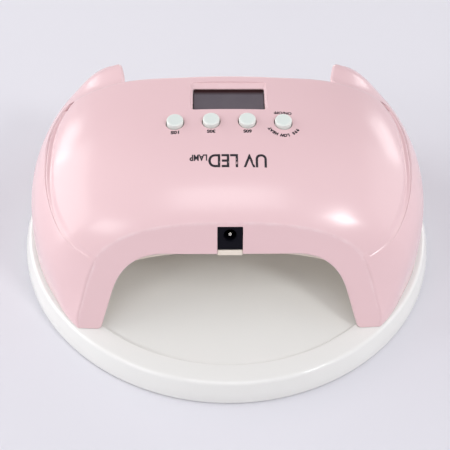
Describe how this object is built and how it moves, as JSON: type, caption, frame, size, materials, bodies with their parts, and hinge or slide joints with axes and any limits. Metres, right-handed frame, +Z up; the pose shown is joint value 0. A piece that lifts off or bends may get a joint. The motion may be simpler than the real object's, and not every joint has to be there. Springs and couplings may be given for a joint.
{
  "type": "uv led nail lamp",
  "caption": "Pink gel nail curing lamp with a hand tunnel, on a round white base, with push buttons and a small display.",
  "frame": {"origin": "on the table under the middle of the round base", "axes": "+Z up, -Y towards the user, where the hand goes in, +Y towards the rear with the power socket, +X to the user's right when they face the rear"},
  "size_m": [0.22, 0.22, 0.0918],
  "materials": {
    "pink_shell": "glossy, finely orange-peeled paint over ABS",
    "white_base": "glossy",
    "white_inner": "satin",
    "key_white": "satin",
    "smoked_window": "polished",
    "black_plastic": "satin",
    "rubber": "matt",
    "circuit_board": "solder mask",
    "led_board": "white solder mask",
    "lens": "clear, yellow below",
    "sensor_window": "polished",
    "steel": "nickel plated",
    "brass": "plated pin",
    "cable": "satin"
  },
  "bodies": {
    "base": {"base_tray": "white_base", "base_bottom_plate": "white_base", "rubber_foot_1": "rubber", "rubber_foot_2": "rubber", "rubber_foot_3": "rubber", "rubber_foot_4": "rubber", "base_magnet_1": "steel", "base_magnet_2": "steel", "base_magnet_3": "steel", "base_magnet_4": "steel"},
    "lamp": {"hood_shell": "pink_shell", "right_wing": "pink_shell", "left_wing": "pink_shell", "right_liner": "white_inner", "left_liner": "white_inner", "led_lens_1": "lens", "led_lens_2": "lens", "led_lens_3": "lens", "led_lens_4": "lens", "led_lens_5": "lens", "led_lens_6": "lens", "led_lens_7": "lens", "led_lens_8": "lens", "led_lens_9": "lens", "led_lens_10": "lens", "led_board_1": "led_board", "led_board_2": "led_board", "led_board_3": "led_board", "led_board_4": "led_board", "led_board_5": "led_board", "led_board_6": "led_board", "led_board_7": "led_board", "led_board_8": "led_board", "roof_led_board": "led_board", "hand_sensor": "sensor_window", "right_bottom_rail": "white_inner", "left_bottom_rail": "white_inner", "body_magnet_1": "steel", "body_magnet_2": "steel", "body_magnet_3": "steel", "body_magnet_4": "steel", "rail_screw_1": "steel", "rail_screw_2": "steel", "rail_screw_3": "steel", "rail_screw_4": "steel", "display_window": "smoked_window", "display_module": "black_plastic", "control_board": "circuit_board", "key_switch_1": "black_plastic", "key_switch_2": "black_plastic", "key_switch_3": "black_plastic", "key_switch_4": "black_plastic", "dc_jack_housing": "black_plastic", "dc_jack_pin": "brass", "jack_strip": "white_inner", "power_harness": "cable"},
    "key_10s": {"button_10s": "key_white"},
    "key_30s": {"button_30s": "key_white"},
    "key_60s": {"button_60s": "key_white"},
    "key_power": {"button_power": "key_white"}
  },
  "joints": [
    {"name": "lamp_lift", "type": "slide", "parent": "base", "child": "lamp", "axis": [0, 0, 1], "range_m": [0, 0.06]},
    {"name": "button_10s_press", "type": "slide", "parent": "lamp", "child": "key_10s", "axis": [0, -0.0872, -0.9962], "range_m": [0, 0.0008], "stiffness_N_per_m": 400},
    {"name": "button_30s_press", "type": "slide", "parent": "lamp", "child": "key_30s", "axis": [0, -0.0872, -0.9962], "range_m": [0, 0.0008], "stiffness_N_per_m": 400},
    {"name": "button_60s_press", "type": "slide", "parent": "lamp", "child": "key_60s", "axis": [0, -0.0872, -0.9962], "range_m": [0, 0.0008], "stiffness_N_per_m": 400},
    {"name": "button_power_press", "type": "slide", "parent": "lamp", "child": "key_power", "axis": [0, -0.0872, -0.9962], "range_m": [0, 0.0008], "stiffness_N_per_m": 400}
  ]
}
